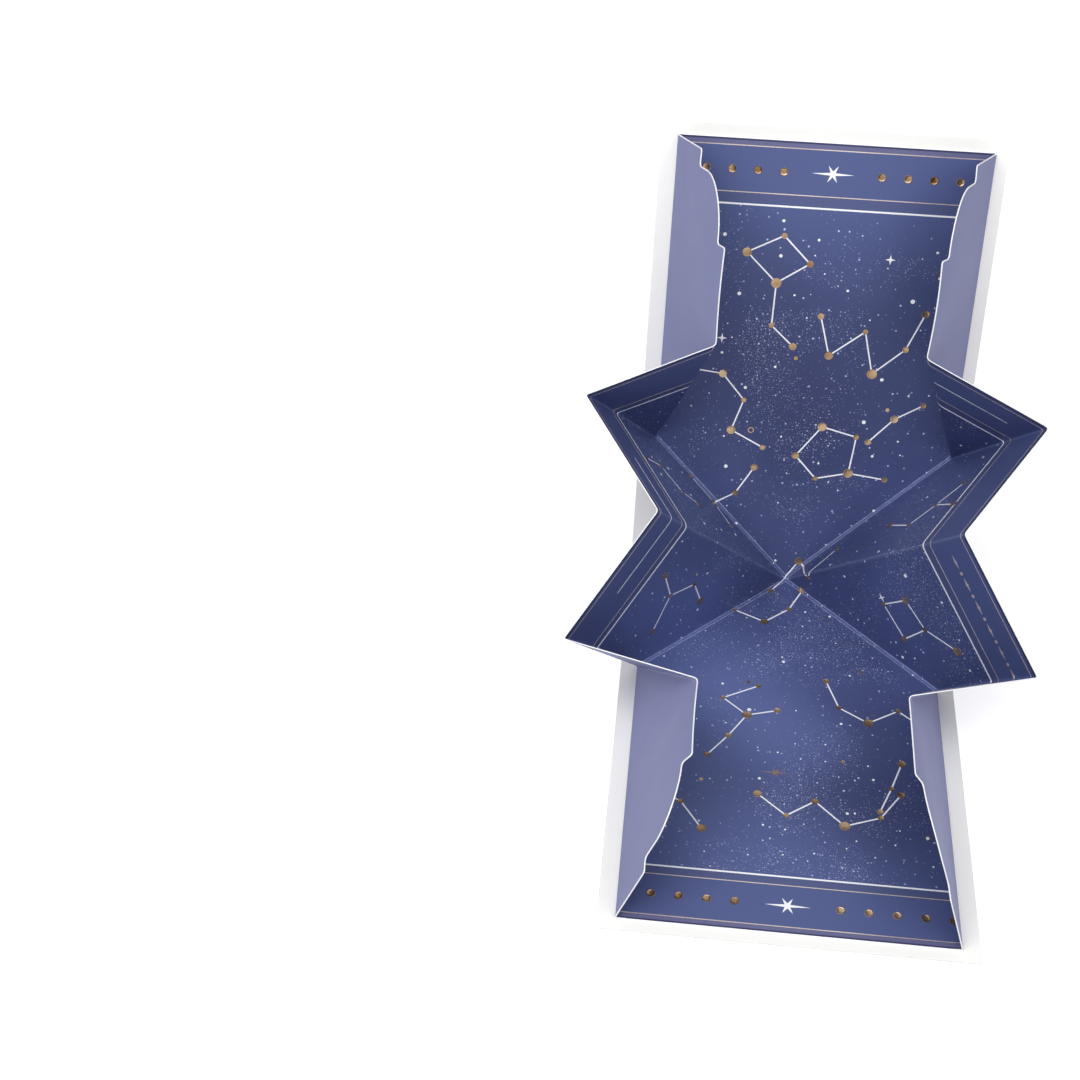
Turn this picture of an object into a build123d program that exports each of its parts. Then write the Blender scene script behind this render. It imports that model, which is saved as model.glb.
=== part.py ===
from build123d import *
import math
import os

# A greeting card that pops up as it opens, standing half open on a table.
# It is two sheets. The cover is a white card folded once, along its spine.
# The insert is one printed sheet, die-cut and creased, glued inside the cover by its two panels.
# X runs along the spine, Y towards the back and Z up. The lower half of the cover lies on the table.
# The origin is the centre of the face that it lies on.

# Card and paper
card_thickness = 0.4
paper_thickness = 0.4
# A crease is scored, which leaves a bead a little thicker than the sheet
crease_bead = 0.02
# The glue between the insert's creases and the cover
glue_gap = 0.02

# How far the card stands open, between its two halves
opening_angle = 106.5

# The insert's pattern, flat. Across the sheet, a panel with a flap on each side.
panel_width = 112.0
# One side of a flap, from the fold to its free edge: end run, step, scallop, shoulder
end_run = 26.0
step_run = 8.0
scallop_width = 15.8
shoulder_run = 5.2
# The same side along the panel, from the shoulder to the end
free_edge = 34.5
shoulder_drop = 1.6
scallop_length = 20.0
step_drop = 5.9
corner_radius = 1.2

# What the cover leaves bare round the insert
side_margin = 6.0
end_margin = 5.0

# Creases are round beads along the folds, with a round knot where several of them meet
crease_radius = paper_thickness / 2 + crease_bead
knot_radius = crease_radius + crease_bead
# From the middle of the insert's sheet to the cover's inner face, which is also the inside of its fold
seat_height = knot_radius + glue_gap
cover_fold_radius = seat_height + card_thickness

# Sizes that follow from the pattern. The diagonal creases run at 45 degrees from the spine.
half_width = panel_width / 2
diagonal_rise = half_width
scallop_place = end_run + step_run + scallop_width
flap_width = scallop_place + shoulder_run
shoulder_place = diagonal_rise + flap_width + free_edge
panel_reach = shoulder_place + shoulder_drop + scallop_length + step_drop
cover_width = panel_width + 2 * side_margin
cover_reach = panel_reach + end_margin

# How the sheet folds. Every turn follows from how far the card is open, because no facet bends.
lean = math.radians(180 - opening_angle)
wall_turn = 2 * math.atan(math.sin(lean / 2))
flap_turn = 2 * math.atan(math.tan(wall_turn) * math.cos(lean / 2))

# The point on the spine where the two panels' middle planes meet, inside the cover's fold
fold_y = cover_reach / 2
panel_height = card_thickness + seat_height
fold_point = Vector(0, fold_y - panel_height * math.tan(lean / 2), panel_height)

# Each panel's plane has its local Y away from the spine and its local Z out of the printed face
upper_panel = Plane(
    origin=fold_point,
    x_dir=(1, 0, 0),
    z_dir=(0, -math.sin(lean), math.cos(lean)),
)
lower_panel = Plane(origin=fold_point, x_dir=(-1, 0, 0), z_dir=(0, 0, 1))


def facet_plane(origin, outward, away):
    """The plane of a folded facet, from where its flat X and Y directions point."""
    return Plane(origin=origin, x_dir=outward, z_dir=outward.cross(away))


class Quarter:
    """A quarter of the folded sheet: one side of one panel, with its points and its facets' planes."""

    def __init__(self, panel, side):
        def direction(x, y, z):
            return panel.from_local_coords(Vector(x, y, z)) - panel.origin

        # Directions: along the panel, out across the flap, and out along the middle fold
        away = direction(0, 1, 0)
        flap_out = direction(side * math.cos(flap_turn), 0, math.sin(flap_turn))
        wall_out = direction(
            side * math.cos(wall_turn),
            math.sin(wall_turn) * math.sin(lean / 2),
            math.sin(wall_turn) * math.cos(lean / 2),
        )
        # Corners of the creases
        self.centre = panel.origin
        self.knee = panel.from_local_coords(Vector(side * half_width, diagonal_rise, 0))
        self.end = panel.from_local_coords(Vector(side * half_width, panel_reach, 0))
        self.tip = self.knee + wall_out * flap_width
        self.shoulder = self.knee + (away + flap_out) * flap_width
        self.middle = self.centre + wall_out * (half_width + flap_width)
        # Planes of the facets, each with the flat pattern's own directions
        wall_up = (self.knee - self.centre - wall_out * half_width) * (1 / diagonal_rise)
        tip_up = (self.shoulder - self.tip) * (1 / flap_width)
        self.flap_plane = facet_plane(self.knee, flap_out, away)
        self.wall_plane = facet_plane(self.centre, wall_out, wall_up)
        self.tip_plane = facet_plane(self.knee, wall_out, tip_up)

    def creases(self):
        """The creases that end at this quarter's knee, as pairs of points."""
        return [
            (self.centre, self.knee),
            (self.knee, self.end),
            (self.knee, self.tip),
            (self.knee, self.shoulder),
        ]


quarters = [Quarter(panel, side) for panel in (upper_panel, lower_panel) for side in (-1, 1)]

# Popup insert: the panels, walls, tips and flaps of one creased sheet
flap_length = panel_reach - diagonal_rise
step_level = flap_length - step_drop
shoulder_level = flap_width + free_edge
with BuildPart() as popup_insert:
    for panel in (upper_panel, lower_panel):
        with BuildSketch(panel):
            with BuildLine():
                Polyline(
                    (0, 0),
                    (half_width, diagonal_rise),
                    (half_width, panel_reach),
                    (-half_width, panel_reach),
                    (-half_width, diagonal_rise),
                    close=True,
                )
            make_face()
        extrude(amount=paper_thickness / 2, both=True)
    for quarter in quarters:
        # Side wall, from the middle fold to the level of the knee
        with BuildSketch(quarter.wall_plane):
            with BuildLine():
                Polyline(
                    (0, 0),
                    (half_width, diagonal_rise),
                    (half_width + flap_width, diagonal_rise),
                    (half_width + flap_width, 0),
                    close=True,
                )
            make_face()
        extrude(amount=paper_thickness / 2, both=True)
        # Tip, the triangle between the wall and the flap
        with BuildSketch(quarter.tip_plane):
            with BuildLine():
                Polyline((0, 0), (flap_width, 0), (flap_width, flap_width), close=True)
            make_face()
        extrude(amount=paper_thickness / 2, both=True)
        # Flap, with its die-cut edge: step, scallop and shoulder
        with BuildSketch(quarter.flap_plane):
            with BuildLine():
                Line((0, 0), (0, flap_length))
                FilletPolyline(
                    (0, flap_length),
                    (end_run, flap_length),
                    (end_run, step_level),
                    (end_run + step_run, step_level),
                    radius=corner_radius,
                )
                EllipticalCenterArc(
                    (end_run + step_run, shoulder_level + shoulder_drop),
                    scallop_width,
                    scallop_length,
                    arc_size=90,
                )
                FilletPolyline(
                    (scallop_place, shoulder_level + shoulder_drop),
                    (scallop_place, shoulder_level),
                    (flap_width, shoulder_level),
                    (flap_width, flap_width),
                    radius=corner_radius,
                )
                Line((flap_width, flap_width), (0, 0))
            make_face()
        extrude(amount=paper_thickness / 2, both=True)
    # The scored creases, and the points where they meet
    middles = [(quarters[0].centre, quarters[side].middle) for side in (0, 1)]
    for start, finish in middles + [crease for quarter in quarters for crease in quarter.creases()]:
        with BuildSketch(Plane(origin=start, z_dir=finish - start)):
            Circle(crease_radius)
        extrude(amount=(finish - start).length)
    with Locations(fold_point, *[quarter.knee for quarter in quarters]):
        Sphere(knot_radius)
popup_insert.part.label = "popup_insert"
export_step(popup_insert.part, "parts/popup_insert.step")

# Cover: a white card folded once at the spine
spine = Vector(fold_y, 0)
back_edge = spine + Vector(math.cos(lean), math.sin(lean)) * cover_reach
with BuildPart() as cover:
    with BuildSketch(Plane.YZ):
        with BuildLine():
            FilletPolyline((-fold_y, 0), spine, back_edge, radius=cover_fold_radius)
            offset(amount=card_thickness, side=Side.LEFT)
        make_face()
    extrude(amount=cover_width / 2, both=True)
cover.part.label = "cover"
export_step(cover.part, "parts/cover.step")
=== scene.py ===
import math
import random

import bpy
import numpy as np
from mathutils import Matrix, Vector
from mathutils.geometry import delaunay_2d_cdt


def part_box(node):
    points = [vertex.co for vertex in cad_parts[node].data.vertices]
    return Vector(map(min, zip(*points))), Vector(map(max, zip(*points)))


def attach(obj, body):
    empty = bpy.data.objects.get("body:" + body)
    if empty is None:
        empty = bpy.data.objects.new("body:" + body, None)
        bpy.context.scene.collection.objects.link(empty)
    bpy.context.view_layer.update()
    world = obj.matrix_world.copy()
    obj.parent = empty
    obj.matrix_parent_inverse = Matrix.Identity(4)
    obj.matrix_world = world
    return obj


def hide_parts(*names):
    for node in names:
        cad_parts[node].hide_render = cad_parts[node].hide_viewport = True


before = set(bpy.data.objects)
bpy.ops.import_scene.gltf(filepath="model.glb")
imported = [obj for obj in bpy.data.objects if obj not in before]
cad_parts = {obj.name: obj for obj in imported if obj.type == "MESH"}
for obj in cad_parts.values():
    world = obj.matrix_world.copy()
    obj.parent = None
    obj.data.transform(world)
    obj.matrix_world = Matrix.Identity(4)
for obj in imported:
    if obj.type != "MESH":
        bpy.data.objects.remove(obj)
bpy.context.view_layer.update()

# A greeting card that pops up: a white cover folded once, and a printed sheet folded inside it.
# Both sheets are drawn flat and then folded. On the flat sheet X runs along the spine and Y across it,
# with the upper half at positive Y, and all its sizes are in millimetres.
mm = 0.001

# How far the card stands open
opening_angle = 106.5
lean = math.radians(180 - opening_angle)

# Sizes of the cover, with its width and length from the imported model
cover_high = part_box("cover")[1]
cover_half_width = cover_high.x / mm
cover_reach = -2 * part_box("cover")[0].y / mm
cover_thickness = 0.4
cover_corner_radius = 0.8
seat_height = 0.26

# Sizes of the insert
paper_thickness = 0.4
side_margin = 6.0
end_margin = 5.0
end_run = 26.0
step_run = 8.0
scallop_width = 15.8
shoulder_run = 5.2
shoulder_drop = 1.6
scallop_length = 20.0
step_drop = 5.9
corner_radius = 1.2
half_width = cover_half_width - side_margin
panel_reach = cover_reach - end_margin
scallop_place = end_run + step_run + scallop_width
flap_width = scallop_place + shoulder_run
side_reach = half_width + flap_width
scallop_start = panel_reach - step_drop - scallop_length
shoulder_place = scallop_start - shoulder_drop

# The point on the spine where the insert's two panels meet, and where the cover's fold is centred
panel_height = cover_thickness + seat_height
fold_point = np.array([0, cover_reach / 2 - panel_height * math.tan(lean / 2), panel_height])

# How far a fold is rounded to each side of its crease: near the panels, and out in the gussets
fold_softness = 1.8
gusset_softness = 3.0
# The folds begin to get rounder this far out from the panels, and do so over these distances:
# outwards, and away from the slanting folds
rounder_from = 6.0
rounder_over = 20.0
rounder_past_slant = 12.0
# They begin to get sharper again this far in from the cut edge, and do so over this distance
sharper_from = 10.0
sharper_over = 9.0
# How far each flap's free edge stands out beyond the exact fold: from its corner by the tip on, how much
# further at its end and in the middle between them, and how far that edge curls back in. The flaps stay in
# this order: left before right, and lower before upper.
flap_spreads = {
    "lower_left": (-0.3, 3.8, 1.0, 2.5),
    "lower_right": (-0.3, 4.6, 0.1, 2.8),
    "upper_left": (1.9, 0.2, 1.4, 1.6),
    "upper_right": (-1.1, 0.4, 2.2, 1.8),
}
# The curl is strongest at the free edge, and falls off inwards by this power of the distance
curl_power = 8
# How much wider the upper panel lies, all of it towards the right
upper_panel_stretch = 1.5
# How far in from the cut edge the sheet's back is white, and how round the edge is
crushed_edge = 0.32
edge_roundness = 0.1
# How far short of the cut edge the lines end that follow the creases
crease_stop = crushed_edge + 0.4
# The longest step along an outline or a printed line, and the shortest that a crossed crease may add
path_step = 4.0
least_step = 0.12

# Where the camera stands, what it looks at, how far it is rolled, and its lens
camera_place = Vector((-0.05040, -0.42879, 0.45662))
camera_aim = Vector((-0.09236, 0.020, 0.06999))
camera_roll = math.radians(1.003)
camera_lens = 57.08


# The folded insert

wall_turn = 2 * math.atan(math.sin(lean / 2))
flap_turn = 2 * math.atan(math.tan(wall_turn) * math.cos(lean / 2))
wall_out = np.array([
    math.cos(wall_turn),
    math.sin(wall_turn) * math.sin(lean / 2),
    math.sin(wall_turn) * math.cos(lean / 2),
])
flap_out = np.array([math.cos(flap_turn), 0, math.sin(flap_turn)])
along_panel = np.array([0, 1, 0])
knee = np.array([half_width, half_width, 0])
wall_up = knee / half_width - wall_out
tip_up = along_panel + flap_out - wall_out


def folded(flat):
    """Where points of the flat insert go when its creases are sharp."""
    across = np.abs(flat[:, :1])
    along = np.abs(flat[:, 1:])
    panel = across * [1, 0, 0] + along * along_panel
    flap = knee + (across - half_width) * flap_out + (along - half_width) * along_panel
    tip = knee + (across - half_width) * wall_out + (along - half_width) * tip_up
    wall = across * wall_out + along * wall_up
    beside = np.where(along >= across, flap, tip)
    outer = np.where(along > half_width, beside, wall)
    place = np.where((across <= half_width) & (along >= across), panel, outer)
    side = np.where(flat[:, 0] < 0, -1, 1)
    upper = flat[:, 1] > 0
    away = np.where(upper, place[:, 1] * math.cos(lean) - place[:, 2] * math.sin(lean), -place[:, 1])
    up = np.where(upper, place[:, 1] * math.sin(lean) + place[:, 2] * math.cos(lean), place[:, 2])
    return fold_point + np.column_stack([side * place[:, 0], away, up])


def soft_kernel(reach, steps):
    """Offsets over a round spot, with weights that fall off towards its rim."""
    ticks = np.linspace(-1, 1, steps)
    spots = np.array([(x, y) for x in ticks for y in ticks if x * x + y * y < 1])
    weights = 1 - (spots ** 2).sum(axis=1)
    return spots * reach, weights / weights.sum()


kernel_spots, kernel_weights = soft_kernel(fold_softness, steps=9)


def eased(share):
    """A share from 0 to 1 that starts and ends gently."""
    share = np.clip(share, 0, 1)
    return share ** 2 * (3 - 2 * share)


def softness(flat):
    """How much further the folds are rounded: out in the gussets, though not at the cut edge."""
    across = np.abs(flat[:, 0])
    along = np.abs(flat[:, 1])
    outward = eased((across - half_width - rounder_from) / rounder_over)
    outward = outward * eased((across - along) / rounder_past_slant)
    # The upper right tip is worn round up to its cut edge
    worn = (flat[:, 0] > 0) & (flat[:, 1] > half_width / 2)
    at_edge = np.where(worn, 0, eased((across - side_reach + sharper_from) / sharper_over))
    more = gusset_softness / fold_softness - 1
    return 1 + more * (outward * (1 - at_edge))[:, None]


def flap_spread(flat):
    """How points of the flaps move, because the flaps stand open further than exactly folded."""
    side = np.where(flat[:, 0] < 0, -1, 1)
    upper = flat[:, 1] > 0
    along = np.abs(flat[:, 1])
    outward = np.clip((np.abs(flat[:, 0]) - half_width) / flap_width, 0, None)
    near = eased((along - half_width) / flap_width)
    far = np.clip((along - side_reach) / (panel_reach - side_reach), 0, None)
    spreads = np.array(list(flap_spreads.values()))[2 * upper + (side > 0)]
    whole, at_end, in_middle, at_edge = spreads.T
    opened = whole * near + at_end * far + in_middle * 4 * far * (1 - far)
    curled = outward ** curl_power * np.clip((along - side_reach) / (shoulder_place - side_reach), 0, 1)
    amount = outward * opened - at_edge * curled
    sideways = math.sin(flap_turn) * amount
    lift = -math.cos(flap_turn) * amount
    away = np.where(upper, -lift * math.sin(lean), 0)
    up = np.where(upper, lift * math.cos(lean), lift)
    return np.column_stack([side * sideways, away, up])


def insert_middle(flat):
    """Where points of the flat insert go, with the creases rounded."""
    reach = softness(flat)
    place = np.zeros((len(flat), 3))
    for spot, weight in zip(kernel_spots, kernel_weights):
        place += weight * folded(flat + reach * spot)
    place += flap_spread(flat)
    stretched = np.clip(flat[:, 0] / half_width + 1, 0, 2) / 2 * np.clip(flat[:, 1] / half_width, 0, 1)
    place[:, 0] += upper_panel_stretch * stretched
    return place


# The cover's fold: the radius of its middle, and half the length of its arc
cover_fold_radius = seat_height + cover_thickness / 2
cover_half_arc = cover_fold_radius * lean / 2


def cover_middle(flat):
    """Where points of the flat cover go."""
    on_arc = np.clip(flat[:, 1], -cover_half_arc, cover_half_arc)
    turned = on_arc / cover_fold_radius + lean / 2
    straight = flat[:, 1] - on_arc
    away = cover_fold_radius * np.sin(turned) + straight * np.cos(turned)
    up = -cover_fold_radius * np.cos(turned) + straight * np.sin(turned)
    return fold_point + np.column_stack([flat[:, 0], away, up])


def surface(middle, flat):
    """Points on a folded sheet's middle, and the directions there out of its inner face."""
    nudge = 0.1
    across = middle(flat + [nudge, 0]) - middle(flat - [nudge, 0])
    along = middle(flat + [0, nudge]) - middle(flat - [0, nudge])
    outward = np.cross(across, along)
    return middle(flat), outward / np.linalg.norm(outward, axis=1, keepdims=True)


# Flat outlines and lines

def left_of(directions):
    """Unit directions turned a quarter left."""
    length = np.linalg.norm(directions, axis=1, keepdims=True)
    return np.column_stack([-directions[:, 1], directions[:, 0]]) / length


def mitres(path, closed):
    """For each point of a path, how it moves when the whole path moves left by 1."""
    steps = np.roll(path, -1, axis=0) - path
    if not closed:
        steps[-1] = steps[-2]
    after = left_of(steps)
    before = np.roll(after, 1, axis=0)
    if not closed:
        before[0] = after[0]
    return (before + after) / (1 + (before * after).sum(axis=1, keepdims=True))


def rounded(corners, closed=True, arc_step=0.2):
    """A path with arcs at its corners, which are given as (x, y, radius).

    An arc turns by arc_step radians at most from one point to the next.
    """
    points = np.array([corner[:2] for corner in corners], float)
    path = []
    for index, (x, y, radius) in enumerate(corners):
        here = points[index]
        if radius == 0 or not closed and index in (0, len(corners) - 1):
            path.append(here)
            continue
        back = points[index - 1] - here
        ahead = points[(index + 1) % len(corners)] - here
        back /= np.linalg.norm(back)
        ahead /= np.linalg.norm(ahead)
        opening = math.acos(np.clip(back @ ahead, -1, 1))
        turn = math.pi - opening
        middle = (back + ahead) / np.linalg.norm(back + ahead)
        centre = here + middle * radius / math.sin(opening / 2)
        start = here + back * radius / math.tan(opening / 2) - centre
        sense = math.copysign(1, ahead[0] * back[1] - ahead[1] * back[0])
        count = max(2, math.ceil(turn / arc_step))
        for step in range(count + 1):
            angle = sense * turn * step / count
            spin = np.array([[math.cos(angle), -math.sin(angle)], [math.sin(angle), math.cos(angle)]])
            path.append(centre + spin @ start)
    return np.array(path)


def all_round(quarter):
    """A closed outline, anticlockwise, from its quarter at positive X and Y."""
    back = quarter[::-1]
    return np.vstack([quarter, back * [-1, 1], -quarter, back * [1, -1]])


def insert_outline(inset=0.0):
    """The insert's cut edge, or a line at a distance inside it."""
    least_radius = 0.8
    scallop_steps = 19
    convex = max(corner_radius - inset, least_radius)
    concave = corner_radius + inset
    scallop_x = half_width + end_run + step_run
    shoulder = rounded([
        (side_reach - inset, half_width, 0),
        (side_reach - inset, shoulder_place - inset, convex),
        (half_width + scallop_place - inset, shoulder_place - inset, concave),
        (half_width + scallop_place - inset, scallop_start, 0),
    ], closed=False)
    angles = np.linspace(0, math.pi / 2, scallop_steps + 1)[1:-1]
    scallop = np.column_stack([
        scallop_x + (scallop_width - inset) * np.cos(angles),
        scallop_start + (scallop_length - inset) * np.sin(angles),
    ])
    step = rounded([
        (scallop_x, panel_reach - step_drop - inset, 0),
        (half_width + end_run - inset, panel_reach - step_drop - inset, concave),
        (half_width + end_run - inset, panel_reach - inset, convex),
        (half_width, panel_reach - inset, 0),
    ], closed=False)
    return all_round(np.vstack([shoulder, scallop, step]))


def rectangle(half_x, half_y, radius=0.0):
    """The outline of a rectangle about the sheet's centre."""
    corners = ((1, 1), (-1, 1), (-1, -1), (1, -1))
    return rounded([(x * half_x, y * half_y, radius) for x, y in corners])


def step_at(size, angle):
    """A step of a size at an angle in radians."""
    return size * np.array([math.cos(angle), math.sin(angle)])


def place_on(points, centre, turn):
    """Points turned by an angle in degrees and moved to a centre."""
    angle = math.radians(turn)
    spin = np.array([[math.cos(angle), math.sin(angle)], [-math.sin(angle), math.cos(angle)]])
    return np.asarray(points, float) @ spin + centre


# Distances from a crease at which the sheet and the print have points
crease_offsets = np.linspace(-gusset_softness, gusset_softness, 13)


def crease_levels(point):
    """A point's signed distances from the lines that the creases lie on."""
    x, y = abs(point[0]), point[1]
    slanting = [(x - y) / 2 ** 0.5, (x + y) / 2 ** 0.5]
    return np.array([x - half_width, y - half_width, y + half_width, *slanting, y, point[0]])


def divided(path, closed=False):
    """A path with more points: one every path_step at least, and close together across a crease."""
    same_level = 1e-6
    ends = np.vstack([path, path[:1]]) if closed else path
    result = [ends[0]]
    for start, finish in zip(ends[:-1], ends[1:]):
        length = np.linalg.norm(finish - start)
        before, after = crease_levels(start), crease_levels(finish)
        shares = list(np.linspace(0, 1, max(1, math.ceil(length / path_step)) + 1)[1:])
        for low, high in zip(before, after):
            if abs(high - low) > same_level:
                shares += [(offset - low) / (high - low) for offset in crease_offsets]
        last = 0
        for share in sorted({round(float(share), 9) for share in shares if 0 < share <= 1}):
            near_end = (1 - share) * length < least_step and share < 1
            if (share - last) * length >= least_step and not near_end or share == 1:
                result.append(start + share * (finish - start))
                last = share
    return np.array(result[:-1] if closed else result)


def insert_crease_lines():
    """The insert's crease lines, each with its parallel lines on both sides, short of the cut edge."""
    side_end = side_reach - crease_stop
    flap_end = panel_reach - crease_stop
    slant_end = side_end - gusset_softness
    lines = []
    for side in (-1, 1):
        for offset in crease_offsets:
            lines.append([(0, offset), (side * side_end, offset)])
            for end in (-1, 1):
                turn = np.array([side, end])
                place = half_width + offset
                lines.append([turn * (place, half_width), turn * (place, flap_end)])
                lines.append([turn * (half_width, place), turn * (side_end, place)])
                shift = offset / 2 ** 0.5
                lines.append([turn * (shift, -shift), turn * (slant_end + shift, slant_end - shift)])
    return [np.array(line, float) for line in lines]


def inside(points, loop, margin):
    """Which points lie inside a closed loop, further than a margin from it."""
    after = np.roll(loop, -1, axis=0)
    x, y = points[:, :1], points[:, 1:]
    spans = (loop[:, 1] > y) != (after[:, 1] > y)
    rise = np.where(after[:, 1] == loop[:, 1], 1, after[:, 1] - loop[:, 1])
    meets = loop[:, 0] + (y - loop[:, 1]) * (after[:, 0] - loop[:, 0]) / rise
    within = (spans & (x < meets)).sum(axis=1) % 2 == 1
    return within & (distance_to(points, loop, after) > margin)


def distance_to(points, starts, ends):
    """Each point's distance to the nearest of some straight stretches."""
    least_square = 1e-12
    run = ends - starts
    square = np.maximum((run ** 2).sum(axis=1), least_square)
    nearest = np.full(len(points), np.inf)
    for start, step, size in zip(starts, run, square):
        share = np.clip((points - start) @ step / size, 0, 1)
        distance = np.linalg.norm(points - start - share[:, None] * step, axis=1)
        nearest = np.minimum(nearest, distance)
    return nearest


# Meshes

def new_piece(name, points, flat, faces, materials, slots=None, smooth=True):
    """A mesh that rides with the card, from points in millimetres and their places on the flat sheet."""
    mesh = bpy.data.meshes.new(name)
    mesh.from_pydata((np.asarray(points) * mm).tolist(), [], faces)
    for material in materials:
        mesh.materials.append(material)
    if slots is not None:
        mesh.polygons.foreach_set("material_index", slots)
    mesh.polygons.foreach_set("use_smooth", [smooth] * len(mesh.polygons))
    layer = mesh.uv_layers.new(name="flat")
    corners = np.empty(len(mesh.loops), int)
    mesh.loops.foreach_get("vertex_index", corners)
    layer.uv.foreach_set("vector", (flat[corners] * mm).ravel())
    mesh.validate()
    piece = bpy.data.objects.new(name, mesh)
    bpy.context.scene.collection.objects.link(piece)
    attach(piece, "root")
    return piece


def sheet_seeds(border, reach, lines, grid_step, clear):
    """The points that a flat sheet's triangles join, and the edges that they keep.

    The points are its border, its lines and a grid that stays clear of both.
    """
    seeds = list(border)
    edges = []
    for start, finish in lines:
        parts = max(1, math.ceil(np.linalg.norm(finish - start) / grid_step))
        first = len(seeds)
        seeds += [start + (finish - start) * part / parts for part in range(parts + 1)]
        edges += [(first + part, first + part + 1) for part in range(parts)]
    columns, rows = np.ceil(reach / grid_step).astype(int)
    grid = np.array([
        (column * grid_step, row * grid_step)
        for column in range(-columns, columns + 1)
        for row in range(-rows, rows + 1)
    ], float)
    grid = grid[inside(grid, border, clear)]
    starts = np.array([start for start, finish in lines])
    ends = np.array([finish for start, finish in lines])
    grid = grid[distance_to(grid, starts, ends) > clear]
    return seeds + list(grid), edges


def flat_triangles(border, seeds, edges):
    """The points and triangles of a flat sheet, and which of the points are its border's, in order."""
    inside_only = 1
    same_place = 1e-5
    # A triangle whose centre is nearer the border than this is a stray between points nearly in line
    least_from_border = 0.001
    count = len(border)
    outline = [list(range(count))]
    corners = [Vector(seed) for seed in seeds]
    points, _, triangles, sources, _, _ = delaunay_2d_cdt(
        corners, edges, outline, inside_only, same_place, True
    )
    flat = np.array(points)
    rim = {source: index for index, merged in enumerate(sources) for source in merged if source < count}
    centres = np.array([flat[list(triangle)].mean(axis=0) for triangle in triangles])
    kept = inside(centres, border, least_from_border)
    triangles = [tuple(triangle) for triangle, keep in zip(triangles, kept) if keep]
    return flat, triangles, [rim[index] for index in range(count)]


def edge_section(thickness):
    """The section of a sheet's cut edge, which is slightly rounded, as (how far in, how high)."""
    half = thickness / 2
    corner = edge_roundness * (1 - 0.5 ** 0.5)
    rounding = [(edge_roundness, half), (corner, half - corner), (0, half - edge_roundness)]
    return rounding + [(inset, -height) for inset, height in reversed(rounding)]


def sheet_piece(name, middle, thickness, loop, lines, grid_step, clear, materials):
    """A folded sheet with an inner face, an outer face and a soft cut edge, which have a material each.

    It is folded by the function middle. Its cut edge is the loop, and the lines follow its creases.
    """
    count = len(loop)
    inward = mitres(loop, closed=True)
    border = loop + inward * crushed_edge
    seeds, edges = sheet_seeds(border, np.abs(loop).max(axis=0), lines, grid_step, clear)
    flat, inner, rim = flat_triangles(border, seeds, edges)
    total = len(flat)
    points, outward = surface(middle, flat)
    all_points = [points + outward * thickness / 2, points - outward * thickness / 2]
    all_flat = [flat, flat]
    rings = [rim]
    for inset, height in edge_section(thickness):
        ring = loop + inward * inset
        points, outward = surface(middle, ring)
        first = 2 * total + (len(rings) - 1) * count
        rings.append([first + index for index in range(count)])
        all_points.append(points + outward * height)
        all_flat.append(ring)
    rings.append([total + index for index in rim])
    faces = inner + [tuple(total + index for index in reversed(face)) for face in inner]
    slots = [0] * len(inner) + [1] * len(inner)
    for level, (upper, lower) in enumerate(zip(rings[:-1], rings[1:])):
        for index in range(count):
            after = (index + 1) % count
            faces.append((upper[index], lower[index], lower[after], upper[after]))
            slots.append(2 if level else 0)
    return new_piece(name, np.vstack(all_points), np.vstack(all_flat), faces, materials, slots)


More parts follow.
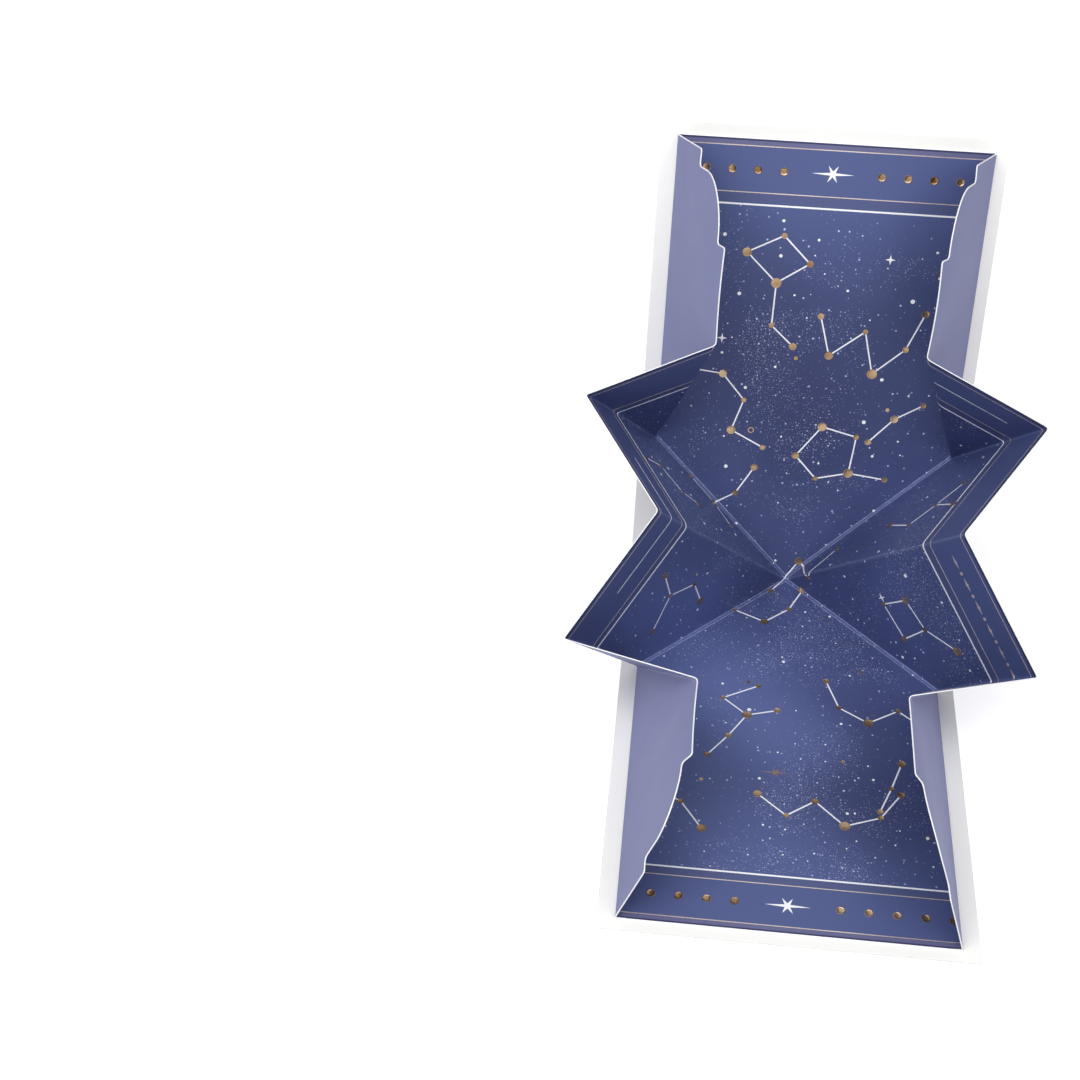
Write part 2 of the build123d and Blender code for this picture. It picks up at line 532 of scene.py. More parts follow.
class Print:
    """Shapes in one foil, gathered into one mesh that lies on the folded insert."""

    # How high the foil stands out of the sheet's face, and how deep its shapes' undersides lie in it
    height = 0.03
    sunk = -0.05

    def __init__(self):
        self.flat = []
        self.heights = []
        self.faces = []

    def add(self, flat, heights, faces):
        """One more shape, from its flat points, their heights and its faces."""
        first = len(self.flat)
        self.flat += [tuple(point) for point in flat]
        self.heights += list(heights)
        self.faces += [tuple(first + index for index in face) for face in faces]

    def ribbon(self, path, width, closed=False):
        """A line of an even width."""
        path = divided(np.asarray(path, float), closed)
        side = mitres(path, closed) * width / 2
        count = len(path)
        flat = np.vstack([path + side, path + side, path - side, path - side])
        heights = [self.sunk] * count + [self.height] * 2 * count + [self.sunk] * count
        faces = []
        for index in range(count if closed else count - 1):
            after = (index + 1) % count
            for upper, lower in ((0, 1), (1, 2), (2, 3), (3, 0)):
                faces.append((
                    upper * count + index,
                    upper * count + after,
                    lower * count + after,
                    lower * count + index,
                ))
        if not closed:
            faces.append((0, count, 2 * count, 3 * count))
            faces.append(tuple(ring * count + count - 1 for ring in (3, 2, 1, 0)))
        self.add(flat, heights, faces)

    def disc(self, centre, radius, dish=0.0, height=height, sides=24):
        """A round dot, flat or pressed hollow: dish is how much higher it rises towards its rim."""
        shares = (0, 0.35, 0.55, 0.7, 0.82, 0.92, 1.0) if dish else (0, 0.85, 1.0)
        rim_fall = 0.3 * dish
        centre = np.asarray(centre, float)
        flat = [centre]
        heights = [height]
        for share in shares[1:]:
            lift = height + dish * share ** 3
            if share == 1:
                lift -= rim_fall
            for side in range(sides):
                angle = 2 * math.pi * side / sides
                flat.append(centre + step_at(radius * share, angle))
                heights.append(lift)
        last = len(flat) - sides
        flat += flat[last:]
        heights += [self.sunk] * sides
        faces = [(0, 1 + side, 1 + (side + 1) % sides) for side in range(sides)]
        for ring in range(len(shares) - 1):
            first = 1 + ring * sides
            for side in range(sides):
                after = (side + 1) % sides
                faces.append((first + side, first + sides + side, first + sides + after, first + after))
        faces.append(tuple(range(len(flat) - 1, len(flat) - sides - 1, -1)))
        self.add(flat, heights, faces)

    def star(self, centre, rays, waist, first_turn=0):
        """A star with pointed rays at even angles, given by their lengths from the first turn, in degrees.

        Between two rays its outline comes in to the waist.
        """
        centre = np.asarray(centre, float)
        sizes = [size for length in rays for size in (length, waist)]
        count = len(sizes)
        outline = []
        for index, size in enumerate(sizes):
            angle = math.radians(first_turn + 360 * index / count)
            outline.append(centre + step_at(size, angle))
        flat = [centre] + outline + outline
        heights = [self.height] * (count + 1) + [self.sunk] * count
        faces = []
        for index in range(count):
            after = (index + 1) % count
            faces.append((0, 1 + index, 1 + after))
            faces.append((1 + index, 1 + count + index, 1 + count + after, 1 + after))
        faces.append(tuple(range(2 * count, count, -1)))
        self.add(flat, heights, faces)

    def piece(self, name, material):
        """The gathered shapes as one piece, folded with the sheet."""
        flat = np.array(self.flat)
        points, outward = surface(insert_middle, flat)
        lifts = np.array(self.heights)[:, None] + paper_thickness / 2
        made = new_piece(name, points + outward * lifts, flat, self.faces, [material], smooth=False)


# What is printed, and in which colours

# Colours, as shares of the light that they return
navy_painted_shade = (0.040, 0.050, 0.140)
navy_deep = (0.064, 0.081, 0.200)
navy_clear = (0.078, 0.101, 0.246)
navy_painted_light = (0.135, 0.175, 0.390)
navy_band = (0.088, 0.115, 0.275)
navy_inner_strip = (0.090, 0.108, 0.235)
navy_strip = (0.150, 0.148, 0.272)
navy_edge_shade = (0.022, 0.028, 0.085)
star_pale = (0.68, 0.74, 0.98)
# The pale of the rubbed score lines and of the painted highlights along the folds
score_and_highlight_pale = (0.46, 0.49, 0.74)
back_deep = (0.179, 0.196, 0.381)
back_clear = (0.198, 0.214, 0.405)
cover_white = (0.925, 0.92, 0.893)
# The cover's cut edge is grey: painted shade along the card's edge
cover_edge_shade_grey = (0.74, 0.74, 0.72)
edge_white = (0.92, 0.92, 0.94)
copper_dark = (0.22, 0.125, 0.055)
copper_light = (0.54, 0.39, 0.25)
# The lines' copper is paler than the dots': a painted reflection of the bright surroundings in the thin foil
# lines
copper_line_sheen_dark = (0.58, 0.47, 0.42)
copper_line_sheen_light = (0.80, 0.68, 0.60)
pearl_dark = (0.93, 0.93, 0.97)
pearl_light = (0.99, 0.99, 1.0)

# The printed border: rectangles about the sheet's centre, as half sizes across and along
frame_inner = (88.0, 149.6)
frame_middle = (91.6, 153.6)
white_line_shift = (-0.3, -0.4)
outer_line_inset = 2.6
# The paler strips past the outer line are only at the two ends
end_strip = (side_reach + 1, panel_reach - outer_line_inset)
# Painted shade: the ink is painted darker along the cut edge, where the edge lies in shade
edge_shade_strip = (side_reach - 1.1, panel_reach - 0.8)
# How much of a strip's own tint shows, and over what distance it begins
strip_share = 0.8
strip_blur = 0.1
# Painted light: the ground is painted paler from here to the frame's ends, which get more light, by this
# share of the band's tint
painted_light_from = 110
painted_light_share = 0.8
# Painted light and painted shade on the ground colour, in soft round clouds where more or less light falls:
# the middle, the radius and the strength
painted_light_clouds = [
    (-24, -68, 52, 0.95),
    (4, -92, 34, 0.5),
    (-44, -124, 50, 0.4),
    (-10, -134, 36, 0.15),
    (-72, -26, 50, 0.6),
    (-42, -20, 36, 0.5),
    (66, -20, 45, 0.25),
    (-70, 30, 44, 0.45),
    (66, 30, 40, 0.35),
]
painted_shade_clouds = [
    (-6, 92, 66, 0.75),
    (6, 54, 46, 0.6),
    (38, 108, 40, 0.3),
    (30, -112, 34, 0.6),
]
# Specks: the cell that holds one at most, the radius, the share of cells that have one, and the strength
fine_specks = (0.75, 0.16, 0.8, 0.5)
medium_specks = (1.5, 0.22, 0.5, 0.9)
coarse_specks = (5.0, 0.34, 0.35, 1.0)
# Fine and medium specks get fewer upwards from the first of these to the second, down to a share
calm_from = 108
calm_to = 140
calm_share = 0.15
# The light score lines beside a slanting fold, rubbed ink and painted highlight: the middle, towards the
# panel, the half breadth, the strength
score_and_highlight_lines = [(1.15, 0.2, 0.75), (-0.75, 0.45, 0.75)]
# The softer lines on the other folds, painted highlights: their half breadth, and the strength on the level
# and middle folds
soft_line_breadth = 0.9
level_line_strength = 0.15
middle_line_strength = 0.18
# The score lines end this far past the panel's side, and the level folds' painted highlights begin as far
# before it
score_blend = 2


# Materials

class Graph:
    """The nodes of a material or of the world, made and joined one call each."""

    def __init__(self, owner, shader):
        owner.use_nodes = True
        self.owner = owner
        self.tree = owner.node_tree
        self.shader = self.tree.nodes[shader]

    def feed(self, socket, value):
        """A value or an opaque colour for a socket, or a link to it from another node's output."""
        if isinstance(value, bpy.types.NodeSocket):
            self.tree.links.new(value, socket)
        elif socket.type == "RGBA":
            socket.default_value = (*value, 1.0)
        else:
            socket.default_value = value

    def set(self, socket, value):
        """A value or a link for a socket of the shader."""
        self.feed(self.shader.inputs[socket], value)

    def node(self, kind, inputs, **settings):
        """A new node, with values or links for its inputs."""
        made = self.tree.nodes.new("ShaderNode" + kind)
        for name, value in settings.items():
            setattr(made, name, value)
        for name, value in inputs.items():
            self.feed(made.inputs[name], value)
        return made

    def math(self, operation, *values, clamp=False):
        """What a Math node makes of its values."""
        inputs = dict(enumerate(values))
        return self.node("Math", inputs, operation=operation, use_clamp=clamp).outputs[0]

    def ramp(self, value, start, finish, low=0.0, high=1.0, smooth=False):
        """What goes from low to high while a value goes from start to finish."""
        inputs = {"Value": value, "From Min": start, "From Max": finish, "To Min": low, "To Max": high}
        kind = "SMOOTHSTEP" if smooth else "LINEAR"
        return self.node("MapRange", inputs, clamp=True, interpolation_type=kind).outputs[0]

    def noise(self, place, size, detail=2.0, roughness=0.5, distortion=0.0):
        """Noise with features of a size, in the units of the place."""
        inputs = {
            "Vector": place,
            "Scale": 1 / size,
            "Detail": detail,
            "Roughness": roughness,
            "Distortion": distortion,
        }
        return self.node("TexNoise", inputs).outputs["Fac"]

    def mix(self, share, first, second):
        """A blend of two colours, by the share of the second."""
        inputs = {0: share, 6: first, 7: second}
        return self.node("Mix", inputs, data_type="RGBA").outputs[2]

    def bump(self, height, depth):
        """Relief of a depth in millimetres."""
        inputs = {"Height": height, "Distance": depth * mm, "Strength": 1.0}
        self.set("Normal", self.node("Bump", inputs).outputs[0])

    def flat_place(self):
        """The place on the flat sheet, in millimetres."""
        place = self.node("UVMap", {}, uv_map="flat").outputs[0]
        return self.node("VectorMath", {0: place, 3: 1 / mm}, operation="SCALE").outputs[0]

    def seen_directly(self):
        """1 where the camera, a reflection or clear glass sees it, and 0 where it only gives light."""
        rays = self.node("LightPath", {}).outputs
        seen = self.math("MAXIMUM", rays["Is Camera Ray"], rays["Is Glossy Ray"])
        return self.math("MAXIMUM", seen, rays["Is Transmission Ray"])


def material_graph(name):
    """The nodes of a new material."""
    return Graph(bpy.data.materials.new(name), "Principled BSDF")


def specks(graph, place, cell, radius, share):
    """Where small round dots are: at most one in each cell, and in a share of the cells.

    Their radius is between half and one and a half times the given one.
    """
    cells = graph.node("TexVoronoi", {"Vector": place, "Scale": 1 / cell}, voronoi_dimensions="2D")
    parts = graph.node("SeparateColor", {"Color": cells.outputs["Color"]}).outputs
    size = graph.math("MULTIPLY_ADD", parts["Red"], radius / cell, 0.5 * radius / cell)
    core = graph.math("MULTIPLY", size, 0.5)
    round_dot = graph.ramp(cells.outputs["Distance"], size, core)
    chosen = graph.math("LESS_THAN", parts["Green"], share)
    bright = graph.ramp(parts["Blue"], 0, 1, 0.35, 1)
    return graph.math("MULTIPLY", graph.math("MULTIPLY", round_dot, chosen), bright)


def beyond(graph, across, along, half_sizes):
    """How far a point lies outside a rectangle about the sheet's centre."""
    past_side = graph.math("SUBTRACT", across, half_sizes[0])
    past_end = graph.math("SUBTRACT", along, half_sizes[1])
    return graph.math("MAXIMUM", past_side, past_end)


def cloud_cover(graph, place, clouds):
    """How much of a second tint shows in some soft round clouds."""
    cover = 0.0
    for x, y, radius, strength in clouds:
        away = graph.node("VectorMath", {0: place, 1: (x, y, 0)}, operation="DISTANCE").outputs["Value"]
        cloud = graph.ramp(away, radius, 0, 0, strength, smooth=True)
        cover = graph.math("ADD", cloud, cover, clamp=True)
    return cover


def spatter(graph, place, upwards, field):
    """Fine pale specks in drifts, fewer towards the upper end, and larger specks all over the field."""
    drift = graph.ramp(graph.noise(place, 48, detail=4, distortion=0.8), 0.47, 0.6, 0.05, 1.0)
    calm = graph.ramp(upwards, calm_to, calm_from, calm_share, 1.0)
    density = graph.math("MULTIPLY", graph.math("MULTIPLY", drift, calm), field)
    pale = 0.0
    for kind, where in ((fine_specks, density), (medium_specks, density), (coarse_specks, field)):
        cell, radius, share, strength = kind
        dots = specks(graph, place, cell, radius, graph.math("MULTIPLY", where, share))
        pale = graph.math("MAXIMUM", pale, graph.math("MULTIPLY", dots, strength))
    return pale


def score_marks_and_highlights(graph, place, across, along):
    """Where the sheet is scored and its ink rubbed lighter, with painted highlights along the folds.

    A pair of light lines, rubbed ink and painted highlight, lies beside each slanting fold, and a softer
    single line of painted highlight on the middle fold and on the level folds of the tips.
    """
    slant = graph.math("MULTIPLY", graph.math("SUBTRACT", along, across), 0.5 ** 0.5)
    on_panel = graph.ramp(across, half_width + score_blend, half_width)
    pair = 0.0
    for middle, half_breadth, strength in score_and_highlight_lines:
        away = graph.math("ABSOLUTE", graph.math("SUBTRACT", slant, middle))
        pair = graph.math("MAXIMUM", pair, graph.ramp(away, half_breadth, half_breadth * 0.4, 0.0, strength))
    pair = graph.math("MULTIPLY", pair, on_panel)
    off_panel = graph.ramp(across, half_width - score_blend, half_width)
    level_fold = graph.math("ABSOLUTE", graph.math("SUBTRACT", along, half_width))
    level_line = graph.ramp(level_fold, soft_line_breadth, 0.0, 0.0, level_line_strength)
    level_line = graph.math("MULTIPLY", level_line, off_panel)
    middle_line = graph.ramp(along, soft_line_breadth, 0.1, 0.0, middle_line_strength)
    lines = graph.math("MAXIMUM", pair, graph.math("MAXIMUM", level_line, middle_line))
    rubbed = graph.ramp(graph.noise(place, 2.5, detail=4), 0.35, 0.6, 0.5, 1.0)
    return graph.math("MULTIPLY", lines, rubbed)


def navy_print_and_painted_light():
    """Dark blue ink with a fine pale spatter and strips in the border, with painted light and painted shade
    in clouds and towards the ends, painted shade along the cut edge, and light score lines and painted
    highlights at the folds.
    """
    graph = material_graph("navy_print_and_painted_light")
    graph.set("Metallic", 0.3)
    graph.set("Specular IOR Level", 0.3)
    place = graph.flat_place()
    axes = graph.node("SeparateXYZ", {"Vector": place}).outputs
    across = graph.math("ABSOLUTE", axes[0])
    along = graph.math("ABSOLUTE", axes[1])
    # Ground colour, mottled, with painted light towards the two ends, and clouds of painted light and
    # painted shade where more or less light falls
    mottle = graph.noise(place, 42, detail=3, roughness=0.55)
    ground = graph.mix(graph.ramp(mottle, 0.35, 0.65), navy_deep, navy_clear)
    paler = graph.math("MULTIPLY", graph.ramp(along, painted_light_from, frame_inner[1]), painted_light_share)
    ground = graph.mix(paler, ground, navy_band)
    for clouds, tint in ((painted_light_clouds, navy_painted_light), (painted_shade_clouds, navy_painted_shade)):
        ground = graph.mix(cloud_cover(graph, place, clouds), ground, tint)
    # Strips of the border, and painted shade along the cut edge
    strips = (
        (frame_inner, navy_inner_strip),
        (frame_middle, navy_band),
        (end_strip, navy_strip),
        (edge_shade_strip, navy_edge_shade),
    )
    for half_sizes, tint in strips:
        past_line = beyond(graph, across, along, half_sizes)
        share = graph.ramp(past_line, -strip_blur / 2, strip_blur / 2, 0.0, strip_share)
        ground = graph.mix(share, ground, tint)
    # The field is what lies inside the frame
    field = graph.ramp(beyond(graph, across, along, frame_inner), 0.0, -1.0)
    ground = graph.mix(spatter(graph, place, axes[1], field), ground, star_pale)
    # Light score lines and painted highlights along the folds
    ground = graph.mix(score_marks_and_highlights(graph, place, across, along), ground, score_and_highlight_pale)
    graph.set("Base Color", ground)
    # A satin face with the paper's grain under it
    graph.set("Roughness", graph.ramp(graph.noise(place, 0.35, detail=3), 0.3, 0.7, 0.38, 0.5))
    graph.bump(graph.noise(place, 0.5, detail=4, roughness=0.6), 0.012)
    return graph.owner


def sheet_back():
    """Pale violet blue, an even tint with the paper's grain."""
    graph = material_graph("sheet_back")
    graph.set("Roughness", 0.6)
    place = graph.flat_place()
    mottle = graph.ramp(graph.noise(place, 18, detail=5, roughness=0.6), 0.3, 0.7)
    graph.set("Base Color", graph.mix(mottle, back_deep, back_clear))
    graph.bump(graph.noise(place, 0.5, detail=4, roughness=0.6), 0.015)
    return graph.owner


def white_board(name, tint):
    """Uncoated white board, with faint lighter patches."""
    graph = material_graph(name)
    graph.set("Roughness", 0.62)
    place = graph.flat_place()
    lift = 1.015
    lighter = tuple(min(1.0, value * lift) for value in tint)
    patches = graph.ramp(graph.noise(place, 6, detail=6, roughness=0.6), 0.25, 0.75)
    graph.set("Base Color", graph.mix(patches, tint, lighter))
    graph.bump(graph.noise(place, 0.4, detail=5, roughness=0.65), 0.02)
    return graph.owner


def foil(name, dark, light, metallic, roughness):
    """Stamped foil, uneven in tone and in gloss."""
    graph = material_graph(name)
    graph.set("Metallic", metallic)
    place = graph.flat_place()
    patches = graph.ramp(graph.noise(place, 22, detail=4, roughness=0.6), 0.35, 0.65)
    graph.set("Base Color", graph.mix(patches, dark, light))
    wear = graph.noise(place, 0.8, detail=3)
    graph.set("Roughness", graph.ramp(wear, 0.3, 0.7, roughness - 0.06, roughness + 0.08))
    graph.bump(graph.noise(place, 0.7, detail=2), 0.02)
    return graph.owner


navy = navy_print_and_painted_light()
back = sheet_back()
cut_edge = white_board("cut_edge", edge_white)
cover_board = white_board("cover_board", cover_white)
# The cover's cut edge gets a grey that paints its shade
cover_edge_painted_shade = white_board("cover_edge_painted_shade", cover_edge_shade_grey)
copper = foil("copper_foil", copper_dark, copper_light, metallic=0.82, roughness=0.25)
# Paler copper for the lines, as a painted reflection
copper_lines_painted_sheen = foil("copper_lines_painted_sheen", copper_line_sheen_dark, copper_line_sheen_light, metallic=0.5, roughness=0.3)
pearl = foil("pearl_foil", pearl_dark, pearl_light, metallic=0.15, roughness=0.32)


# The sheets

insert_sheet = sheet_piece(
    "insert_sheet",
    insert_middle,
    paper_thickness,
    divided(insert_outline(), closed=True),
    insert_crease_lines(),
    grid_step=5.0,
    clear=1.2,
    materials=[navy, back, cut_edge],
)
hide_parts("popup_insert")

# Half the cover's flat length: one straight half and half the arc of its fold
cover_flat_reach = cover_reach - panel_height * math.tan(lean / 2) + cover_half_arc
# Lines along the fold, which end short of the cut edge
spine_reach = cover_half_width - 1
spine_lines = [
    np.array([(-spine_reach, offset), (spine_reach, offset)], float)
    for offset in np.linspace(-cover_half_arc, cover_half_arc, 9)
]
cover_sheet = sheet_piece(
    "cover_sheet",
    cover_middle,
    cover_thickness,
    divided(rectangle(cover_half_width, cover_flat_reach, cover_corner_radius), closed=True),
    spine_lines,
    grid_step=8.0,
    clear=1.2,
    materials=[cover_board, cover_board, cover_edge_painted_shade],
)
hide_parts("cover")


# The print

copper_print = Print()
copper_line_print = Print()
white_print = Print()

# Widths of the printed lines
frame_line = 0.66
figure_line = 0.54
thin_line = 0.34
side_line = 0.3
# The bands at the two ends: a star with a row of pressed dots on each side
end_band = 161.9
first_dot = 17.3
dot_spacing = 9.2
dot_count = 5
band_dot_radius = 1.45
band_dot_dish = 0.3
star_rays = (7.5, 3.5, 3.5, 7.5, 3.5, 3.5)
star_waist = 1.05
# The bands at the two sides: lozenges and small dots in a row on the right, and fine lines
side_band = 100.0
first_lozenge = -9.0
lozenge_spacing = 9.0
lozenge_count = 6
lozenge_rays = (2.9, 0.75, 2.9, 0.75)
lozenge_waist = 0.6
small_dot_radius = 0.7
left_line = (-33, 29)
right_line = (66, 99)


def border_lines():
    """The lines round the field: a white one and two of copper."""
    white_print.ribbon(rectangle(*frame_inner) + white_line_shift, frame_line, closed=True)
    copper_line_print.ribbon(rectangle(*frame_middle), thin_line, closed=True)
    copper_line_print.ribbon(insert_outline(outer_line_inset), thin_line, closed=True)


def end_ornaments():
    """A six-rayed star and rows of dots in the bands at the two ends."""
    for end in (-1, 1):
        level = end * end_band
        white_print.star((0, level), star_rays, star_waist)
        for side in (-1, 1):
            for index in range(dot_count):
                place = (side * (first_dot + index * dot_spacing), level)
                copper_print.disc(place, band_dot_radius, dish=band_dot_dish)


def side_ornaments():
    """Small lozenges and dots in the band on the right, and a fine line in each side band."""
    for index in range(lozenge_count):
        level = first_lozenge - index * lozenge_spacing
        copper_line_print.star((side_band, level), lozenge_rays, lozenge_waist, first_turn=90)
        copper_line_print.disc((side_band, level - lozenge_spacing / 2), small_dot_radius, sides=14)
    white_print.ribbon([(-side_band, level) for level in left_line], side_line)
    white_print.ribbon([(side_band, level) for level in right_line], side_line)


# Made-up figures: the middle, the turn in degrees, the dots as (x, y, radius) and the chains that lines join
figures = [
    ((-15, 122), 8, [(-9, 9, 1.7), (2, 13, 1.1), (9, 4, 1.3), (-1, -1, 1.9), (-3, -14, 1.0), (3, -21, 1.4)],
     [(0, 1, 2, 3, 0), (3, 4, 5)]),
    ((17, 98), -12, [(-14, 6, 1.2), (-8, -5, 1.6), (0, 5, 1.0), (6, -7, 1.9), (13, 3, 1.2), (15, 15, 1.4)],
     [(0, 1, 2, 3, 4, 5)]),
    ((-25, 74), 0, [(-16, 9, 1.2), (-6, 8, 1.5), (1, 0, 1.0), (-2, -10, 1.7), (8, -15, 1.1)],
     [(0, 1, 2, 3, 4)]),
    ((10, 56), 20, [(-10, 1, 1.4), (0, 8, 1.7), (9, 2, 1.1), (4, -9, 1.9), (14, -14, 1.2), (-6, -8, 1.0)],
     [(0, 1, 2, 3, 4), (3, 5, 0)]),
    ((-71, 27), -30, [(-13, -1, 1.0), (-5, 4, 1.5), (4, -1, 1.1), (13, 2, 1.6)], [(0, 1, 2, 3)]),
    ((71, 23), 24, [(-15, 3, 1.5), (-6, -4, 1.1), (3, 0, 1.0), (11, -6, 1.6), (12, 5, 1.1)],
     [(0, 1, 2, 3), (2, 4)]),
    ((-64, -26), 15, [(-11, 8, 1.4), (-3, 1, 1.1), (6, 5, 1.0), (14, -1, 1.7), (-2, -12, 1.2)],
     [(0, 1, 2, 3), (1, 4)]),
    ((66, -30), -18, [(-14, 5, 1.1), (-4, 8, 1.6), (1, -1, 1.1), (-9, -6, 1.3), (12, -6, 1.9)],
     [(0, 1, 2, 3, 0), (2, 4)]),
    ((-8, -30), 4, [(-9, 8, 1.0), (0, 3, 1.5), (8, 9, 1.1), (13, 18, 1.7)], [(0, 1, 2, 3)]),
    ((-19, -84), 30, [(-12, -6, 1.1), (-3, -2, 1.2), (6, 3, 1.8), (3, 12, 1.0), (15, 1, 1.3), (15, 12, 1.0)],
     [(0, 1, 2, 3), (2, 4), (3, 5)]),
    ((23, -70), -8, [(-8, 10, 1.3), (-3, 0, 1.0), (6, -4, 1.9), (14, 3, 1.1), (22, -2, 1.4)],
     [(0, 1, 2, 3, 4)]),
    ((6, -122), 0, [(-13, 6, 1.5), (-5, -1, 1.0), (3, 5, 1.3), (11, -3, 1.9), (21, 1, 1.1), (27, 10, 1.4)],
     [(0, 1, 2, 3, 4, 5)]),
    ((-33, -126), 0, [(-12, 9, 1.2), (-3, 4, 1.0), (3, -5, 1.6)], [(0, 1, 2)]),
    ((33, 68), 0, [(-7, -6, 1.2), (0, 2, 1.5), (8, 7, 1.1)], [(0, 1, 2)]),
    ((-31, 33), 0, [(-9, 6, 1.3), (-2, -3, 1.8), (6, 2, 1.1), (11, 11, 1.4), (0, -12, 1.0)],
     [(0, 1, 2, 3), (1, 4)]),
    ((8, 2), 0, [(-11, -8, 1.2), (-3, 5, 1.6), (6, -3, 1.0), (13, 8, 1.3)], [(0, 1, 2, 3)]),
    ((38, -108), 10, [(-6, -7, 1.2), (-1, 1, 1.0), (4, 10, 1.6)], [(0, 1, 2)]),
]
# How much larger the figures are drawn, how high their dots stand, and how hollow these are for their radius
figure_scale = 1.25
figure_dot_height = 0.06
figure_dish = 0.08
# How far the scattered stars stay from the figures' lines and from the frame
clear_of_lines = 2.2
clear_of_frame = 2
# Sparkles, small dots and rings, and where they are
white_rays = (1.9, 1.9, 1.9, 1.9)
white_waist = 0.55
white_sparkles = ((24, 132), (-34, 98), (52, -16))
copper_rays = (5.5, 2.2, 2.2, 5.5, 2.2, 2.2)
copper_waist = 0.6
copper_sparkle = (-4, -104)
lone_dot_radius = 0.75
lone_dots = ((-6, 92), (30, 74), (-66, 12), (60, -52), (-14, -60), (20, -96), (-30, -110))
ring_radius = 1.0
lone_rings = ((42, 128), (-44, 120), (-20, 62), (-46, -66), (28, -50), (48, -128), (-62, -14))


def figure_places(centre, turn, dots):
    """Where a figure's dots lie on the flat sheet."""
    return place_on([(x * figure_scale, y * figure_scale) for x, y, radius in dots], centre, turn)


def figure_lines(places, chains):
    """The two ends of each of a figure's lines."""
    joins = [join for chain in chains for join in zip(chain[:-1], chain[1:])]
    return [(places[first], places[last]) for first, last in joins]


def figure_shapes():
    """The figures' white lines and hollow copper dots."""
    for centre, turn, dots, chains in figures:
        places = figure_places(centre, turn, dots)
        for line in figure_lines(places, chains):
            white_print.ribbon(line, figure_line)
        for place, (x, y, radius) in zip(places, dots):
            copper_print.disc(place, radius, figure_dish * radius, figure_dot_height, sides=20)


def scattered_stars(count, smallest, largest, spacing, seed):
    """White dots spread over the field at random, clear of each other and of the figures' lines."""
    draw = random.Random(seed)
    lines = []
    for centre, turn, dots, chains in figures:
        lines += figure_lines(figure_places(centre, turn, dots), chains)
    starts, ends = np.array(lines).swapaxes(0, 1)
    taken = []
    while len(taken) < count:
        across = draw.uniform(-1, 1) * (frame_inner[0] - clear_of_frame)
        along = draw.uniform(-1, 1) * (frame_inner[1] - clear_of_frame)
        spot = np.array([across, along])
        radius = smallest + (largest - smallest) * draw.random() ** 2
        crowded = any(np.linalg.norm(spot - other) < spacing for other in taken)
        if crowded or distance_to(spot[None], starts, ends)[0] < clear_of_lines:
            continue
        taken.append(spot)
        white_print.disc(spot, radius, sides=12)


def sparkles():
    """A few sparkles, white and copper, and small copper dots and rings."""
    for spot in white_sparkles:
        white_print.star(spot, white_rays, white_waist)
    copper_print.star(copper_sparkle, copper_rays, copper_waist)
    for spot in lone_dots:
        copper_print.disc(spot, lone_dot_radius, sides=14)
    turns = np.linspace(0, 2 * math.pi, 17)[:-1]
    ring = np.column_stack([np.cos(turns), np.sin(turns)]) * ring_radius
    for spot in lone_rings:
        copper_print.ribbon(ring + spot, thin_line, closed=True)


border_lines()
end_ornaments()
side_ornaments()
figure_shapes()
scattered_stars(70, smallest=0.5, largest=0.85, spacing=9.0, seed=4)
scattered_stars(200, smallest=0.24, largest=0.42, spacing=4.0, seed=9)
sparkles()
copper_print.piece("copper_print", copper)
copper_line_print.piece("copper_line_print", copper_lines_painted_sheen)
white_print.piece("white_print", pearl)


# The floor, the light and the camera

# The lamps stand on both sides of the front: the name, the side and the power in watts
lamps = (("left_lamp", -1, 17.3), ("right_lamp", 1, 9.9))
lamp_place = Vector((0.56, -0.72, 1.31))
lamp_aim = Vector((0, 0.02, 0.06))
lamp_size = 1.2
world_strength = 0.25
# The floor glows less near the card, so that a shadow shows there, and is all white further off
near_reach = 0.25
white_reach = 1.2
near_glow = 0.54


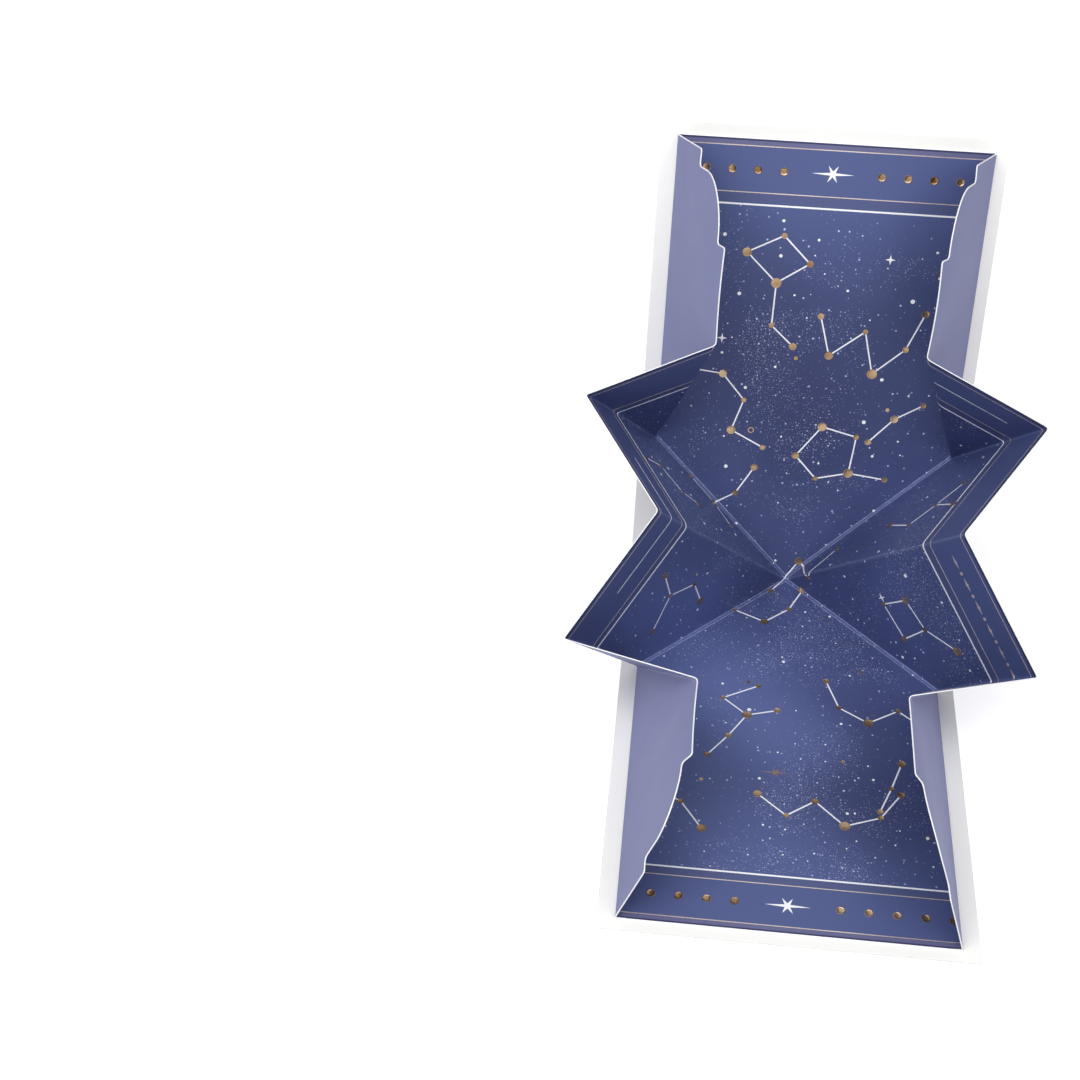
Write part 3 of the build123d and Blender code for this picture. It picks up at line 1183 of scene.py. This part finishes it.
def plain_stage():
    """A pale floor that goes white where nothing shades it."""
    half_size = 6.0
    drop = -0.0001
    corners = [(x * half_size, y * half_size, drop) for x, y in ((-1, -1), (1, -1), (1, 1), (-1, 1))]
    mesh = bpy.data.meshes.new("floor")
    mesh.from_pydata(corners, [], [(0, 1, 2, 3)])
    floor = bpy.data.objects.new("floor", mesh)
    bpy.context.scene.collection.objects.link(floor)
    graph = material_graph("floor")
    graph.set("Base Color", (0.8, 0.8, 0.8))
    graph.set("Roughness", 0.9)
    graph.set("Specular IOR Level", 0.0)
    place = graph.node("NewGeometry", {}).outputs["Position"]
    distance = graph.node("VectorMath", {0: place}, operation="LENGTH").outputs["Value"]
    level = graph.ramp(distance, near_reach, white_reach, near_glow, 1.0)
    strength = graph.math("MULTIPLY", graph.seen_directly(), level)
    lift = graph.node("Emission", {"Color": (1, 1, 1), "Strength": strength})
    both = graph.node("AddShader", {0: graph.shader.outputs[0], 1: lift.outputs[0]})
    graph.feed(graph.tree.nodes["Material Output"].inputs["Surface"], both.outputs[0])
    mesh.materials.append(graph.owner)


def white_world():
    """Even light from all round, and white where the camera or a shiny face sees it."""
    world = bpy.data.worlds.new("studio")
    bpy.context.scene.world = world
    graph = Graph(world, "Background")
    graph.set("Color", (1, 1, 1))
    graph.set("Strength", graph.ramp(graph.seen_directly(), 0.0, 1.0, world_strength, 1.0))


def looking(place, aim, roll=0.0):
    """The matrix of a lamp or camera at a place, pointing at another."""
    turn = (aim - place).to_track_quat("-Z", "Y").to_matrix().to_4x4()
    return Matrix.Translation(place) @ turn @ Matrix.Rotation(roll, 4, "Z")


def round_lamp(name, place, power):
    """A large soft lamp."""
    data = bpy.data.lights.new(name, "AREA")
    data.shape = "DISK"
    data.size = lamp_size
    data.energy = power
    lamp = bpy.data.objects.new(name, data)
    bpy.context.scene.collection.objects.link(lamp)
    lamp.matrix_world = looking(place, lamp_aim)


plain_stage()
white_world()
for name, side, power in lamps:
    round_lamp(name, lamp_place * Vector((side, 1, 1)), power)

camera_data = bpy.data.cameras.new("camera")
camera_data.lens = camera_lens
camera = bpy.data.objects.new("camera", camera_data)
bpy.context.scene.collection.objects.link(camera)
camera.matrix_world = looking(camera_place, camera_aim, camera_roll)
bpy.context.scene.camera = camera
bpy.context.scene.view_settings.view_transform = "Standard"
